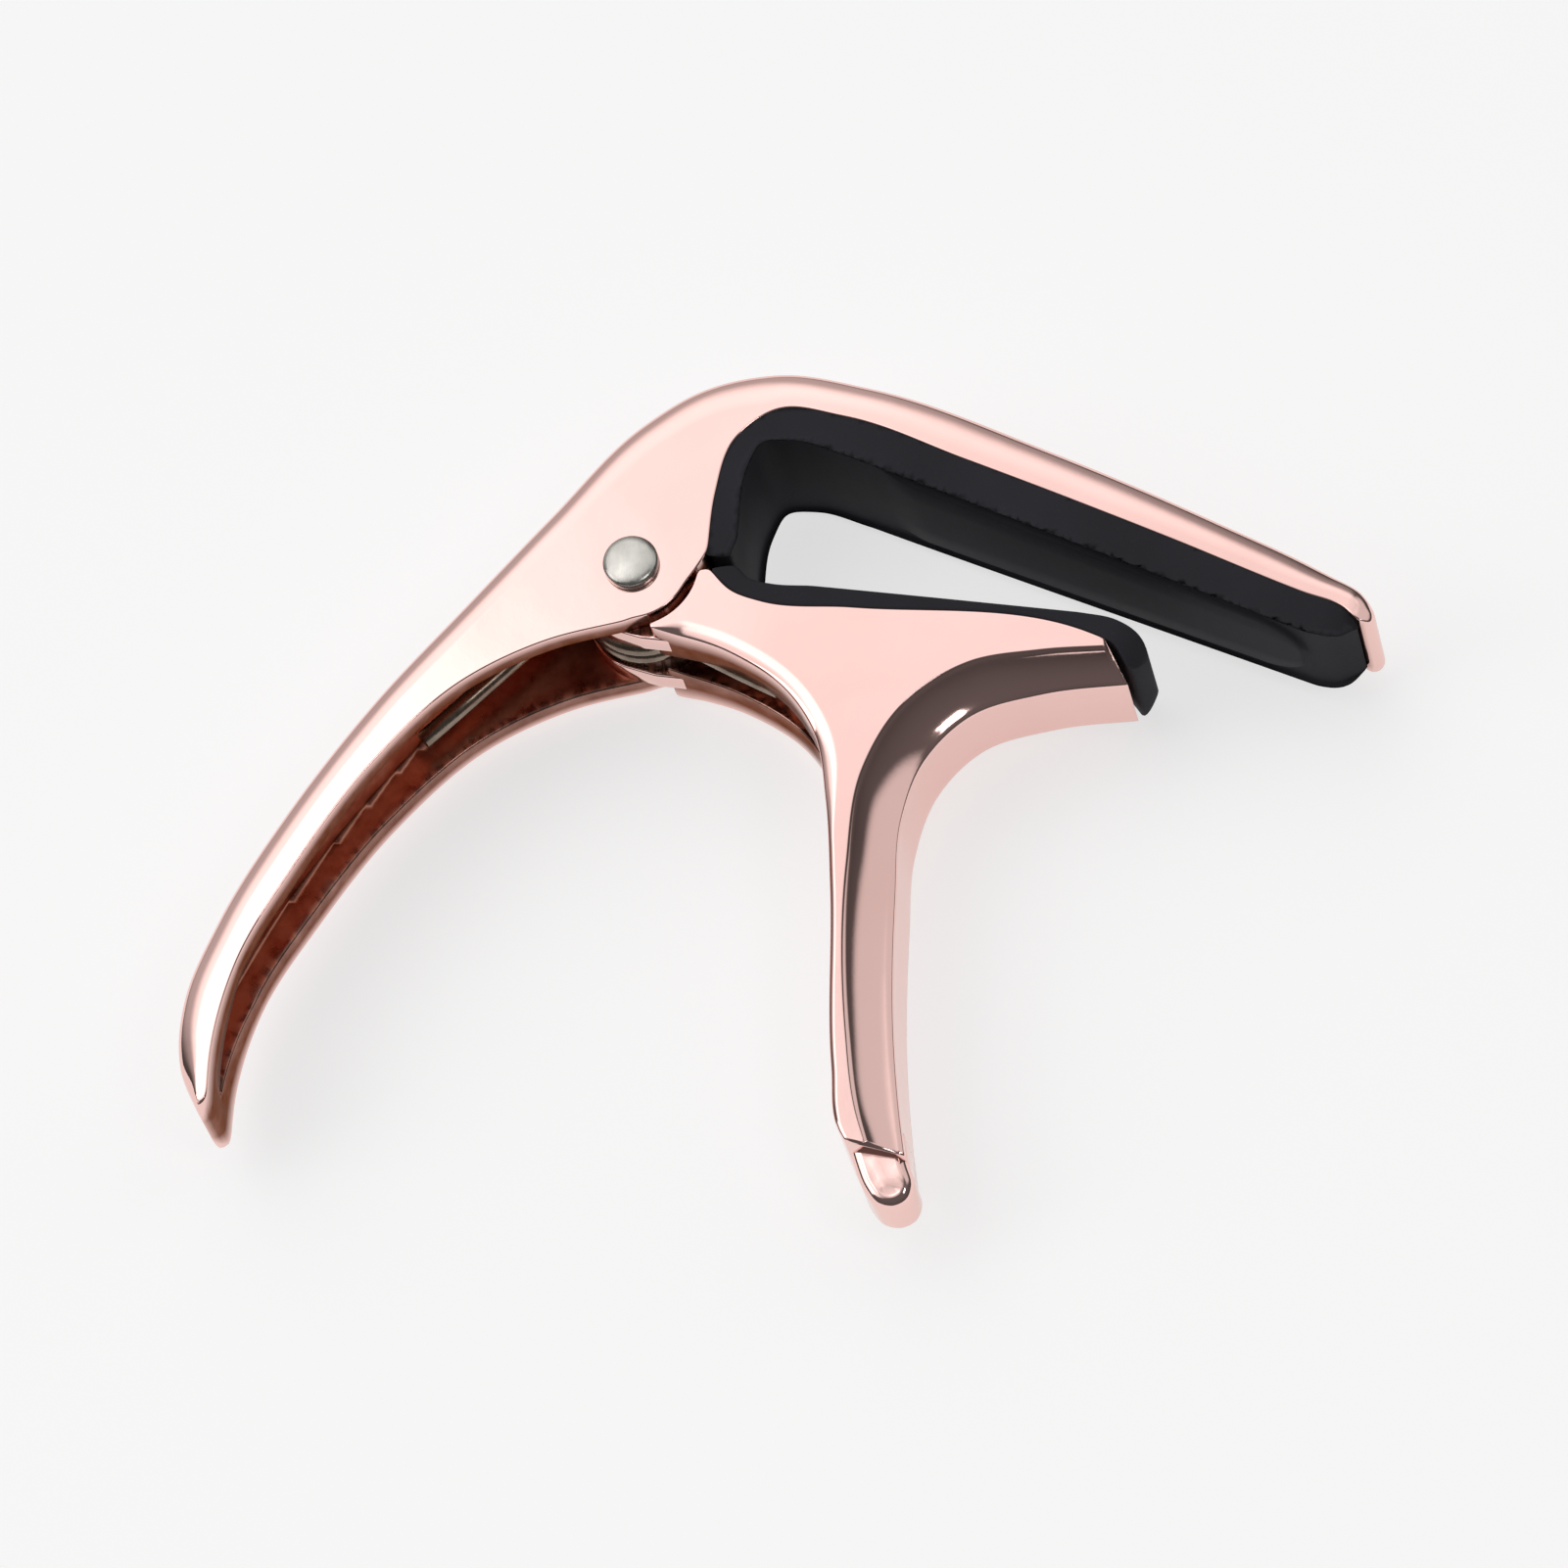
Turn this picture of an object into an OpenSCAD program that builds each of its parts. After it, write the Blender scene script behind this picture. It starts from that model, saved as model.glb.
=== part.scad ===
// Trigger capo for a guitar: a spring clamp of two die-cast halves on one rivet.
// It lies on its side. The rivet's axis is along +Z, the string bar points to +X
// and the two squeeze handles point to -Y. Outlines are drawn from the rivet's axis.

/* [Widths] */
// Width of both castings at the rivet
knuckle_w = 15; // [14:0.5:16]
// Width of the string bar at its tip
bar_tip_w = 10.5; // [9.5:0.5:12]
// Width of the rear handle at its tip
rear_tip_w = 10; // [9:0.5:12]
// Width of the jaw at its end
jaw_tip_w = 12; // [11:0.5:13]
// Width of the finger handle at its tip
finger_tip_w = 10.5; // [9.5:0.5:12]

/* [Walls] */
// Thickness of each cheek of the arm, which is also the side wall of the rear handle
cheek_t = 2.3; // [2:0.1:2.5]
// Thickness of each ear of the lever
ear_t = 2.3; // [2:0.1:2.4]
// Thickness of the rear handle behind its channel
floor_t = 1.3; // [1:0.1:1.5]
// Side clearance between each ear and its cheek
side_gap = 0.1; // [0.05:0.05:0.2]

/* [Rivet] */
// Diameter of the rivet's shank
rivet_d = 3.6; // [3.2:0.1:4]
// Diameter of the rivet's two heads
head_d = 4.8; // [4.6:0.1:5.4]
// Height of each domed head
head_h = 1.0; // [0.8:0.1:1.2]
// Radial running clearance of the lever on the rivet
bore_gap = 0.05; // [0.03:0.01:0.08]

/* [Spring] */
// Diameter of the spring wire
wire_d = 1.6; // [1.4:0.1:1.6]
// Mean radius of the coil
coil_r = 4.7; // [4.6:0.1:4.8]
// Bore of the coil less the diameter of the sleeve inside it
sleeve_play = 0.6; // [0.4:0.1:1]

/* [Scoops] */
// How far each scoop cuts in from the face of the lever
scoop_depth = 3.5; // [2.5:0.5:3.5]

/* [Hidden] */

copper = [0.80, 0.55, 0.48];
silicone = [0.10, 0.10, 0.11];
steel = [0.70, 0.69, 0.68];
nylon = [0.85, 0.84, 0.80];

// Where the rivet's axis and the mid-plane lie, so that the part's box is centred on the origin.
pivot = [-13.3, 20.2, knuckle_w / 2 + head_h];

$fn = 48;
curve_steps = 5;
slack = 0.01;
beyond = 40;

slot_w = knuckle_w - 2 * cheek_t;
ears_w = slot_w - 2 * side_gap;
channel_w = ears_w - 2 * ear_t;
cheek_r = 5.0;
shoulder_r = 5.7;
ear_r = 5.4;
coil_room_r = coil_r + wire_d / 2 + 0.35;

// ---- Smooth curves through a few points ----

function unit(v) = v / norm(v);

// Direction of the curve at b, weighted towards the nearer neighbour.
function lean(a, b, c) =
    let (p = norm(b - a), q = norm(c - b)) unit(b - a) * q / (p + q) + unit(c - b) * p / (p + q);

function lean_at(k, i) =
    i == 0 ? unit(k[1] - k[0])
    : i == len(k) - 1 ? unit(k[i] - k[i - 1])
    : lean(k[i - 1], k[i], k[i + 1]);

function hermite(a, b, ta, tb, t) =
    let (d = norm(b - a))
    (2 * t * t * t - 3 * t * t + 1) * a + (t * t * t - 2 * t * t + t) * d * ta
    + (3 * t * t - 2 * t * t * t) * b + (t * t * t - t * t) * d * tb;

function curve(k) = [
    for (i = [0 : len(k) - 2])
        for (j = [0 : curve_steps - 1])
            hermite(k[i], k[i + 1], lean_at(k, i), lean_at(k, i + 1), j / curve_steps),
    k[len(k) - 1]
];

function reversed(p) = [for (i = [len(p) - 1 : -1 : 0]) p[i]];

function arc(r, from, to, steps = 10) =
    [for (i = [0 : steps]) let (a = from + (to - from) * i / steps) r * [cos(a), sin(a)]];

// The same curve moved to its right by d.
function inset(p, d) = [
    for (i = [0 : len(p) - 1])
        let (
            a = p[max(i - 1, 0)],
            b = p[min(i + 1, len(p) - 1)],
            t = unit(b - a)
        )
        p[i] + d * [t[1], -t[0]]
];

function mixed(p, q, share) = [for (i = [0 : len(p) - 1]) p[i] + share * (q[i] - p[i])];

// ---- Outlines, in millimetres from the rivet's axis ----

// Back of the rear handle, from its tip up to the cheeks
rear_back = curve([
    [-36.4, -48.8], [-37.8, -44], [-37.4, -38], [-34.8, -31], [-29.3, -21.5], [-22, -11.5],
    [-14.5, -3], [-7.3, 5.2]
]);
// Back of the elbow and of the string bar, down to the bar's tip
bar_back = curve([
    [-7.3, 5.2], [0.2, 13.4], [5.5, 16.7], [12, 17.9], [20, 16.3], [35.5, 10], [50, 3],
    [60.5, -2.6], [63.4, -4.6], [64.6, -6.4]
]);
// Seat of the string pad, from the tip of the bar back to the cheeks
pad_seat = curve([
    [63.1, -7.2], [61.8, -5.8], [58.5, -4.5], [46, 1.2], [28.4, 8.9], [18, 13.2], [12, 14.1],
    [8.4, 11.3], [7, 6.5], [6.5, 1]
]);
// Inner edge of the cheeks and of the rear handle, down to its tip
rear_edge = curve([
    [0, -5.2], [-7.3, -6.9], [-14.3, -10.3], [-22, -17.7], [-28.2, -26.6], [-32.9, -35],
    [-34.9, -42.5], [-35.4, -47.6]
]);

// Face of the string pad, from its lower end round the corner to the tip of the bar
string_face = curve([[8.5, 0.4], [8.6, 3], [9.3, 9], [10.6, 11.4], [13.5, 11.6], [18.5, 9.9]]);
string_tip = curve([[58.8, -7.7], [60.8, -7.8], [62.2, -7.3], [63.1, -7.2]]);

// Top of the jaw under the neck pad, from the shoulder to the jaw's end
jaw_top = curve([[6.7, -0.5], [8.6, -2.6], [11.2, -3.7], [19, -4.5], [38.6, -7], [41.3, -8.2]]);
// Outer skin of the neck pad, from its blunt end to the jaw's end
neck_start = curve([[7.5, -0.4], [8.8, -0.2], [10, -1.4], [12, -2], [15.5, -2.3]]);
neck_end = curve([[38.4, -5.3], [41.4, -6], [43.7, -7.6], [44, -8.5], [43.2, -10]]);
// Underside of the jaw and outer side of the finger handle
outer_side = curve([
    [43.1, -11.1], [35, -11.8], [29, -13.6], [25.2, -17.6], [23.4, -23], [23.1, -30], [23.3, -43],
    [24, -50], [24.8, -54.5], [24.9, -56.5], [23.6, -58.2]
]);
// Where the scoops begin on the faces of the lever
scoop_edge = curve([
    [41.2, -8.6], [35, -8.9], [29, -9.9], [23.6, -13.6], [20.3, -19.5], [19.2, -28], [19.4, -43],
    [20.2, -50], [21.2, -54.5]
]);
past_jaw = [3, 0.3];
scoop_foot = [for (i = [0 : len(scoop_edge) - 1]) outer_side[i]];
// Inner side of the lever, from the handle's tip up to the shoulder
inner_side = curve([
    [21.6, -57.6], [20.3, -55.6], [19, -51.5], [18.3, -46], [17.8, -30], [17.2, -22], [16, -15.8],
    [13.4, -11.8], [8.5, -8.3], [1.6, -5.8]
]);

// ---- Shared shapes ----

// An outline in the upright plane that runs at an angle from the rivet, extruded right across the part.
module cross_cut(angle, points) {
    rotate([0, 0, angle])
        rotate([90, 0, 0])
            linear_extrude(4 * beyond, center = true)
                polygon(points);
}

// Room that narrows from the knuckle's width at start to tip_w at finish.
module tapering(angle, start, finish, tip_w, wall = 0) {
    w = knuckle_w / 2 - wall;
    tip = tip_w / 2 - wall;
    cross_cut(angle, [
        [-2 * beyond, -w], [start, -w], [finish, -tip], [finish, tip], [start, w],
        [-2 * beyond, w]
    ]);
}

// Room with a rounded end, which gives a tip its plan shape.
module nosed(angle, finish, tip_w, length) {
    cross_cut(angle, concat(
        [[-2 * beyond, -beyond], [finish - length, -beyond], [finish - length, -tip_w / 2]],
        [for (a = [-75 : 15 : 75]) [finish - length * (1 - cos(a)), tip_w / 2 * sin(a)]],
        [[finish - length, tip_w / 2], [finish - length, beyond], [-2 * beyond, beyond]]
    ));
}

// An outline extruded evenly to both sides of the mid-plane.
module plate(points, w) {
    linear_extrude(w, center = true) polygon(points);
}

module rear_taper(wall = 0) { tapering(238, 12, 62, rear_tip_w, wall); }
module bar_taper(wall = 0) { tapering(-23, 14, 66, bar_tip_w, wall); }
module jaw_taper(wall = 0) { tapering(-12, 10, 50, jaw_tip_w, wall); }
module finger_taper() { tapering(-68, 18, 70, finger_tip_w); }

module hole(r) {
    cylinder(r = r, h = knuckle_w + 2, center = true);
}

// ---- Arm: string bar, elbow, cheeks and rear handle in one casting ----

module arm_outline_plate() {
    plate(
        concat(
            rear_back, bar_back, [[64.3, -7.2]], pad_seat, arc(cheek_r, 8, -90, 12), rear_edge
        ),
        knuckle_w
    );
}

// Room between the cheeks and down the rear handle for the ears, the coil and one leg.
module arm_slot() {
    channel_floor = inset(rear_back, floor_t);
    first = 2 * curve_steps - 1;
    intersection() {
        plate(
            concat(
                [[-34.9, -44]],
                [for (i = [first : len(channel_floor) - 1]) channel_floor[i]],
                [[-3, 5.4], [5.4, 3], [6.1, 0.8], [12, -1], [12, -30], [-30, -50]]
            ),
            slot_w
        );
        rear_taper(cheek_t);
    }
}

module arm() {
    color(copper) translate(pivot) difference() {
        intersection() {
            arm_outline_plate();
            rear_taper();
            bar_taper();
            nosed(265, 51.7, rear_tip_w + 0.6, 3.5);
            nosed(-10, 64.9, bar_tip_w + 0.4, 2);
        }
        arm_slot();
        cylinder(r = coil_room_r, h = ears_w, center = true);
        hole(rivet_d / 2 + slack);
    }
}

// ---- Lever: jaw, ears and finger handle in one casting ----

module lever_outline_plate() {
    plate(
        concat(
            jaw_top, outer_side, inner_side, arc(shoulder_r, -74, -6, 12)
        ),
        knuckle_w
    );
}

// One finger scoop, cut in thin steps that follow a quarter ellipse.
module scoop(steps = 5) {
    for (i = [0 : steps - 1]) {
        low = i / steps;
        reach = sqrt(1 - low * low);
        depth = scoop_depth / steps;
        translate([0, 0, knuckle_w / 2 - (i + 1) * depth])
            linear_extrude(i == 0 ? depth + 1 : depth + slack)
                polygon(concat(
                    [scoop_edge[0] + past_jaw],
                    mixed(scoop_foot, scoop_edge, reach),
                    reversed(inset(scoop_foot, -6)),
                    [scoop_foot[0] + past_jaw]
                ));
    }
}

// Channel under the jaw that takes the lever's leg of the spring.
module lever_channel() {
    plate(
        [
            [-7, -7], [-7, 7], [5.5, 7], [5.7, -1.2], [7, -3.8], [10, -5.4], [13, -8.2],
            [15, -11.5], [15.6, -15], [12, -16]
        ],
        channel_w
    );
}

// Round ends that sit between the cheeks, and their roots in the body of the lever.
module ears() {
    cylinder(r = ear_r, h = ears_w, center = true);
    plate([[0, 0], [-1.8, -5.05], [1.6, -5.8], [3.2, -6.3], [7, -4], [6.9, -1.5], [5.3, 0]], ears_w);
}

module lever() {
    color(copper) translate(pivot) difference() {
        union() {
            intersection() {
                lever_outline_plate();
                jaw_taper();
                finger_taper();
                nosed(-86, 59.7, finger_tip_w + 1.4, 4.5);
            }
            ears();
        }
        scoop();
        mirror([0, 0, 1]) scoop();
        lever_channel();
        hole(rivet_d / 2 + bore_gap);
    }
}

// ---- Silicone pads ----

module string_pad() {
    color(silicone) translate(pivot) intersection() {
        plate(concat(string_face, string_tip, pad_seat), knuckle_w);
        bar_taper(0.1);
    }
}

module neck_pad() {
    color(silicone) translate(pivot) intersection() {
        plate(concat(neck_start, neck_end, [[42.6, -10.3]], reversed(jaw_top)), knuckle_w);
        jaw_taper(0.1);
    }
}

// ---- Rivet and sleeve ----

// A low dome of the head's diameter and height, standing on z = 0.
module dome() {
    sphere_r = (head_d * head_d / 4 + head_h * head_h) / (2 * head_h);
    intersection() {
        translate([0, 0, head_h - sphere_r]) sphere(r = sphere_r);
        cylinder(r = head_d, h = 2 * head_h);
    }
}

module pivot_rivet() {
    color(steel) translate(pivot) {
        cylinder(r = rivet_d / 2, h = knuckle_w, center = true);
        translate([0, 0, knuckle_w / 2]) dome();
        mirror([0, 0, 1]) translate([0, 0, knuckle_w / 2]) dome();
    }
}

module coil_sleeve() {
    outside = coil_r - wire_d / 2 - sleeve_play / 2;
    color(nylon) translate(pivot) difference() {
        cylinder(r = outside, h = channel_w - 2 * side_gap, center = true);
        hole(rivet_d / 2 + bore_gap);
    }
}

// ---- Torsion spring ----

// The wire's centre line: the arm's leg, the coil and the lever's leg.
coil_turn = 853.5;
coil_steps = 50;
coil_half_w = (channel_w - wire_d) / 2 - 0.25;
function coil_point(a) =
    [coil_r * cos(a), coil_r * sin(a), coil_half_w * (1 - 2 * a / coil_turn)];

leg_bend_r = 2.2;
leg_bend_to = 62;
lever_leg = [
    [12.2, -9.6, coil_half_w], [9, -7.9, coil_half_w],
    for (a = [leg_bend_to : -15.5 : 0])
        [
            coil_r + leg_bend_r * (1 - cos(a)),
            -4.2 - leg_bend_r * sin(a),
            coil_half_w
        ],
    [coil_r, -2, coil_half_w]
];
arm_leg_length = 22;
arm_leg_end = coil_point(coil_turn) + arm_leg_length * [-sin(coil_turn), cos(coil_turn), 0];
wire_path = concat(
    lever_leg,
    [for (i = [0 : coil_steps]) coil_point(coil_turn * i / coil_steps)],
    [(coil_point(coil_turn) + arm_leg_end) / 2, arm_leg_end]
);

wire_sides = 10;
function ring(p, i) =
    let (
        t = unit(p[min(i + 1, len(p) - 1)] - p[max(i - 1, 0)]),
        side = unit(cross([0, 0, 1], t)),
        up = cross(t, side)
    )
    [
        for (k = [0 : wire_sides - 1])
            let (a = 360 * k / wire_sides) p[i] + wire_d / 2 * (cos(a) * side + sin(a) * up)
    ];

module wire(p) {
    n = wire_sides;
    last = (len(p) - 1) * n;
    points = [for (i = [0 : len(p) - 1]) each ring(p, i)];
    walls = [
        for (i = [0 : len(p) - 2])
            for (k = [0 : n - 1])
                let (a = i * n + k, b = i * n + (k + 1) % n)
                each [[a, a + n, b], [b, a + n, b + n]]
    ];
    polyhedron(points, concat(
        walls, [[for (k = [0 : n - 1]) k]], [[for (k = [n - 1 : -1 : 0]) last + k]]
    ));
}

module torsion_spring() {
    color(steel) translate(pivot) wire(wire_path);
}

arm();
lever();
string_pad();
neck_pad();
pivot_rivet();
coil_sleeve();
torsion_spring();
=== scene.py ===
"""Looks for the trigger capo: smooth castings, silicone pads, rivet and spring around the CAD frame."""

import math

import bmesh
import bpy
import numpy as np
from mathutils import Matrix, Vector
from mathutils.geometry import delaunay_2d_cdt


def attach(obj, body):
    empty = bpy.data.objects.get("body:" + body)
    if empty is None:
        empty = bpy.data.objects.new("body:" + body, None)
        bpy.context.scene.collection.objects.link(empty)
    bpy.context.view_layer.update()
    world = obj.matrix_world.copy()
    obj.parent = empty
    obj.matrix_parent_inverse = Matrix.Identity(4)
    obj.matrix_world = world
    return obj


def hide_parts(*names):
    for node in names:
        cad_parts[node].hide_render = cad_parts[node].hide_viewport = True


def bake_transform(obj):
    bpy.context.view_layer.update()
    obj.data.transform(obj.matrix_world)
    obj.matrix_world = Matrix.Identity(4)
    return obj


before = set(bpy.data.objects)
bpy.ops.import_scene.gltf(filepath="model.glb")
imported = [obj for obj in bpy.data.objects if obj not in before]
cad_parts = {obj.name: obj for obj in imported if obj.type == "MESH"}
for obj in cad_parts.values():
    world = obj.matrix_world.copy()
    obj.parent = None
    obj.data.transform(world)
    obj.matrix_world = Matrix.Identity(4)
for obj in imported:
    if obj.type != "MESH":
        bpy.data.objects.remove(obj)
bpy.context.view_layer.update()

MM = 0.001
PIVOT = np.array([-13.3, 20.2, 8.5])  # the rivet's axis and the mid-plane, in mm of the row frame
WELD = 2e-7  # in metres, the gap that closes when patches are joined
HALF = 7.5  # half the width of both castings at the rivet


# ---- Curves in the plane, in mm from the rivet's axis ----

def unit(v):
    v = np.asarray(v, float)
    return v / np.linalg.norm(v)


def curve(points, steps=24):
    """A smooth curve through a few points, each tangent weighted towards the nearer neighbour."""
    k = [np.array(p, float) for p in points]
    lean = []
    for i, p in enumerate(k):
        if i == 0:
            lean.append(unit(k[1] - p))
        elif i == len(k) - 1:
            lean.append(unit(p - k[i - 1]))
        else:
            before, after = np.linalg.norm(p - k[i - 1]), np.linalg.norm(k[i + 1] - p)
            share = before + after
            lean.append(unit(p - k[i - 1]) * after / share + unit(k[i + 1] - p) * before / share)
    out = []
    for i in range(len(k) - 1):
        a, b, d = k[i], k[i + 1], np.linalg.norm(k[i + 1] - k[i])
        for j in range(steps):
            t = j / steps
            out.append(
                (2 * t**3 - 3 * t**2 + 1) * a + (t**3 - 2 * t**2 + t) * d * lean[i]
                + (3 * t**2 - 2 * t**3) * b + (t**3 - t**2) * d * lean[i + 1]
            )
    out.append(k[-1])
    return np.array(out)


def arc(radius, start, stop, steps=40):
    a = np.radians(np.linspace(start, stop, steps + 1))
    return radius * np.stack([np.cos(a), np.sin(a)], 1)


def spaced(path, gap):
    """The same path with its points an even gap apart."""
    length = np.concatenate([[0], np.cumsum(np.linalg.norm(np.diff(path, axis=0), axis=1))])
    n = max(int(round(length[-1] / gap)), 1)
    t = np.linspace(0, length[-1], n + 1)
    return np.stack([np.interp(t, length, path[:, i]) for i in range(path.shape[1])], 1)


def joined(*paths):
    """Paths end to end, each shared point kept once."""
    out = [paths[0]]
    for p in paths[1:]:
        out.append(p[1:] if np.linalg.norm(p[0] - out[-1][-1]) < 1e-6 else p)
    return np.concatenate(out)


def right_normals(path, closed=False):
    """Unit normals to the right of the way a path runs."""
    if closed:
        t = np.roll(path, -1, 0) - np.roll(path, 1, 0)
    else:
        t = np.gradient(path, axis=0)
    t = t / np.linalg.norm(t, axis=1)[:, None]
    return np.stack([t[:, 1], -t[:, 0]], 1)


def ramp(x, start, stop):
    """0 before start, 1 after stop, smooth between. start may lie above stop."""
    t = np.clip((np.asarray(x, float) - start) / (stop - start), 0, 1)
    return t * t * (3 - 2 * t)


def eased(values, width):
    """Values round a loop, averaged over width neighbours."""
    half = width // 2
    return sum(np.roll(values, k) for k in range(-half, half + 1)) / (2 * half + 1)


def along(p, degrees):
    a = math.radians(degrees)
    return p[..., 0] * math.cos(a) + p[..., 1] * math.sin(a)


def easing(x, width):
    """0 well below 0, x well above, with a smooth bend of that width between."""
    return 0.5 * (x + np.sqrt(x * x + width * width))


def lesser(a, b, p=14):
    """The smaller of two half-widths, blended where they are near each other."""
    return (a ** -p + b ** -p) ** (-1 / p)


def nose(p, degrees, finish, length, left):
    """Share of the width near a rounded tip, down to the share left at its end."""
    u = np.clip((along(p, degrees) - (finish - length)) / length, 0, 0.97)
    return 1 - (1 - left) * (1 - np.sqrt(1 - u * u))


def soft_loop(parts, gap, blur=0.35):
    """Parts end to end as one closed loop with softened corners.

    Returns its points, and for each point the number of its part and how far along the part it lies, 0 to 1.
    """
    fine = 0.1
    points, kind, share = [], [], []
    for i, part in enumerate(parts):
        p = spaced(np.asarray(part, float), fine)
        n = len(p) - 1
        points.append(p[:-1])
        kind += [i] * n
        share += list(np.arange(n) / n)
    points = np.concatenate(points)
    reach = int(4 * blur / fine)
    weights = np.exp(-0.5 * (np.arange(-reach, reach + 1) * fine / blur) ** 2)
    weights /= weights.sum()
    soft = sum(w * np.roll(points, -k, 0) for k, w in zip(range(-reach, reach + 1), weights))
    n = len(points)
    pick = np.round(np.linspace(0, n, int(n * fine / gap), endpoint=False)).astype(int)
    return soft[pick], np.array(kind)[pick], np.array(share)[pick]


# ---- Meshes ----

class Patches:
    """Vertices and faces gathered patch by patch, in mm from the rivet, then welded into one mesh."""

    def __init__(self):
        self.points, self.faces, self.inner = [], [], []

    def add(self, points, inner=0.0):
        start = len(self.points)
        points = np.asarray(points, float).reshape(-1, 3)
        self.points.extend(points)
        self.inner.extend(np.broadcast_to(np.ravel(inner), len(points)))
        return start

    def grid(self, rows, closed=False, skip=None, inner=0.0):
        """rows[i][j] is a point. Faces join neighbours, and a closed grid joins its last row to its first."""
        rows = np.asarray(rows, float)
        n, m = rows.shape[:2]
        start = self.add(rows, inner)
        for i in range(n if closed else n - 1):
            for j in range(m - 1):
                if skip is None or not skip(i, j):
                    a, b = start + i * m + j, start + (i + 1) % n * m + j
                    self.faces.append((a, b, b + 1, a + 1))

    def sheet(self, loop, height, gap, margin, inner=0.0):
        """The inside of a loop, with points every gap, at height(x, y) on each side of the mid-plane."""
        loop = np.asarray(loop, float)
        low, high = loop.min(0), loop.max(0)
        x, y = np.meshgrid(np.arange(low[0], high[0], gap), np.arange(low[1], high[1], gap))
        x = x + gap / 2 * (np.arange(len(x)) % 2)[:, None]
        field = np.stack([x.ravel(), y.ravel()], 1)
        field = field[inside(field, loop) & (distance(field, loop) > margin)]
        n = len(loop)
        found = delaunay_2d_cdt(
            [Vector(p) for p in np.concatenate([loop, field])],
            [(i, (i + 1) % n) for i in range(n)], [], 1, 1e-7,
        )
        flat = np.array([tuple(v) for v in found[0]])
        if len(flat) != n + len(field):
            print("a sheet's loop crosses itself:", n + len(field), len(flat))
        tall = height(flat)
        for side in (1, -1):
            start = self.add(np.column_stack([flat, side * tall]), inner)
            self.faces.extend(tuple(start + i for i in f) for f in found[2])

    def build(self, name, material):
        mesh = bpy.data.meshes.new(name)
        points = (np.array(self.points) + PIVOT) * MM
        mesh.from_pydata([tuple(p) for p in points], [], self.faces)
        # inner is 0 on polished faces, 0.5 on sawn rims and 1 in the slot; the material paints the rims and the
        # slot darker as painted shade
        shade = mesh.attributes.new("inner", "FLOAT", "POINT")
        shade.data.foreach_set("value", np.array(self.inner, np.float32))
        bm = bmesh.new()
        bm.from_mesh(mesh)
        bmesh.ops.remove_doubles(bm, verts=bm.verts, dist=WELD)
        bmesh.ops.dissolve_degenerate(bm, edges=bm.edges, dist=WELD)
        bmesh.ops.recalc_face_normals(bm, faces=bm.faces)
        loose = sum(1 for e in bm.edges if len(e.link_faces) != 2)
        print(name, len(bm.verts), "vertices,", len(bm.faces), "faces,", loose, "open edges")
        bm.to_mesh(mesh)
        bm.free()
        mesh.polygons.foreach_set("use_smooth", [True] * len(mesh.polygons))
        mesh.materials.append(material)
        obj = bpy.data.objects.new(name, mesh)
        bpy.context.scene.collection.objects.link(obj)
        return obj


def inside(p, loop):
    a, b = loop, np.roll(loop, -1, 0)
    hits = np.zeros(len(p), bool)
    for (x0, y0), (x1, y1) in zip(a, b):
        if y0 != y1:
            crosses = (y0 > p[:, 1]) != (y1 > p[:, 1])
            hits ^= crosses & (p[:, 0] < x0 + (p[:, 1] - y0) * (x1 - x0) / (y1 - y0))
    return hits


def distance(p, loop):
    a, b = loop, np.roll(loop, -1, 0)
    best = np.full(len(p), np.inf)
    for s, e in zip(a, b):
        d = e - s
        size = d @ d
        t = np.clip((p - s) @ d / size, 0, 1) if size > 0 else np.zeros(len(p))
        best = np.minimum(best, np.linalg.norm(p - s - t[:, None] * d, axis=1))
    return best


def mirrored(half):
    """Rows from the near side to the mid-plane, continued to the far side."""
    far = half[:, -2::-1].copy()
    far[:, :, 2] *= -1
    return np.concatenate([half, far], 1)


EDGE_ROWS = 18


def rolled_edge(corner_r, crown_r, break_deg):
    """(inset, drop) from a face over a gentle crown and a tighter corner to the side wall."""
    angles = np.concatenate([
        np.linspace(90, break_deg, 8), np.linspace(break_deg, 0, EDGE_ROWS - 8)[1:]
    ])
    inset, drop = [0.0], [0.0]
    for hi, lo in zip(angles[:-1], angles[1:]):
        r = crown_r if lo >= break_deg - 1e-6 else corner_r
        hi, lo = math.radians(hi), math.radians(lo)
        inset.append(inset[-1] - r * (math.cos(lo) - math.cos(hi)))
        drop.append(drop[-1] + r * (math.sin(hi) - math.sin(lo)))
    inset = np.array(inset) - inset[-1]
    return inset / inset[0], np.array(drop) / drop[-1]


def column_rows(base, inward, half_of, reach, drop, shape, slot_half, in_slot):
    """One casting's side, column by column: guard row, rolled edge, wall, slot lip and mid-plane.

    reach and drop size the rolled edge, and shape is its (inset, drop) profile. slot_half is where the slot
    begins, and in_slot is 1 where a column opens into it.
    """
    rows = []
    s_in, s_drop = shape
    for k in range(-1, len(s_in)):
        inset = reach * s_in[max(k, 0)] + (0.08 if k < 0 else 0)
        xy = base + inward * inset[:, None]
        z = half_of(xy) - drop * s_drop[max(k, 0)]
        rows.append(np.column_stack([xy, z]))
    lip = 0.22
    middle = 0.5 * (rows[-1][:, 2] + slot_half + lip)
    rows.append(np.column_stack([base, middle]))
    rows.append(np.column_stack([base, slot_half + lip]))
    xy = base + inward * (in_slot * lip * 0.3)[:, None]
    rows.append(np.column_stack([xy, slot_half + lip * 0.3]))
    xy = base + inward * (in_slot * lip)[:, None]
    for share in (1.0, 0.93, 0.78, 0.4, 0.0):
        rows.append(np.column_stack([xy, slot_half * share]))
    return np.stack(rows, 1)


SLOT_ROW = EDGE_ROWS + 3  # the row at the slot's lip


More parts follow.
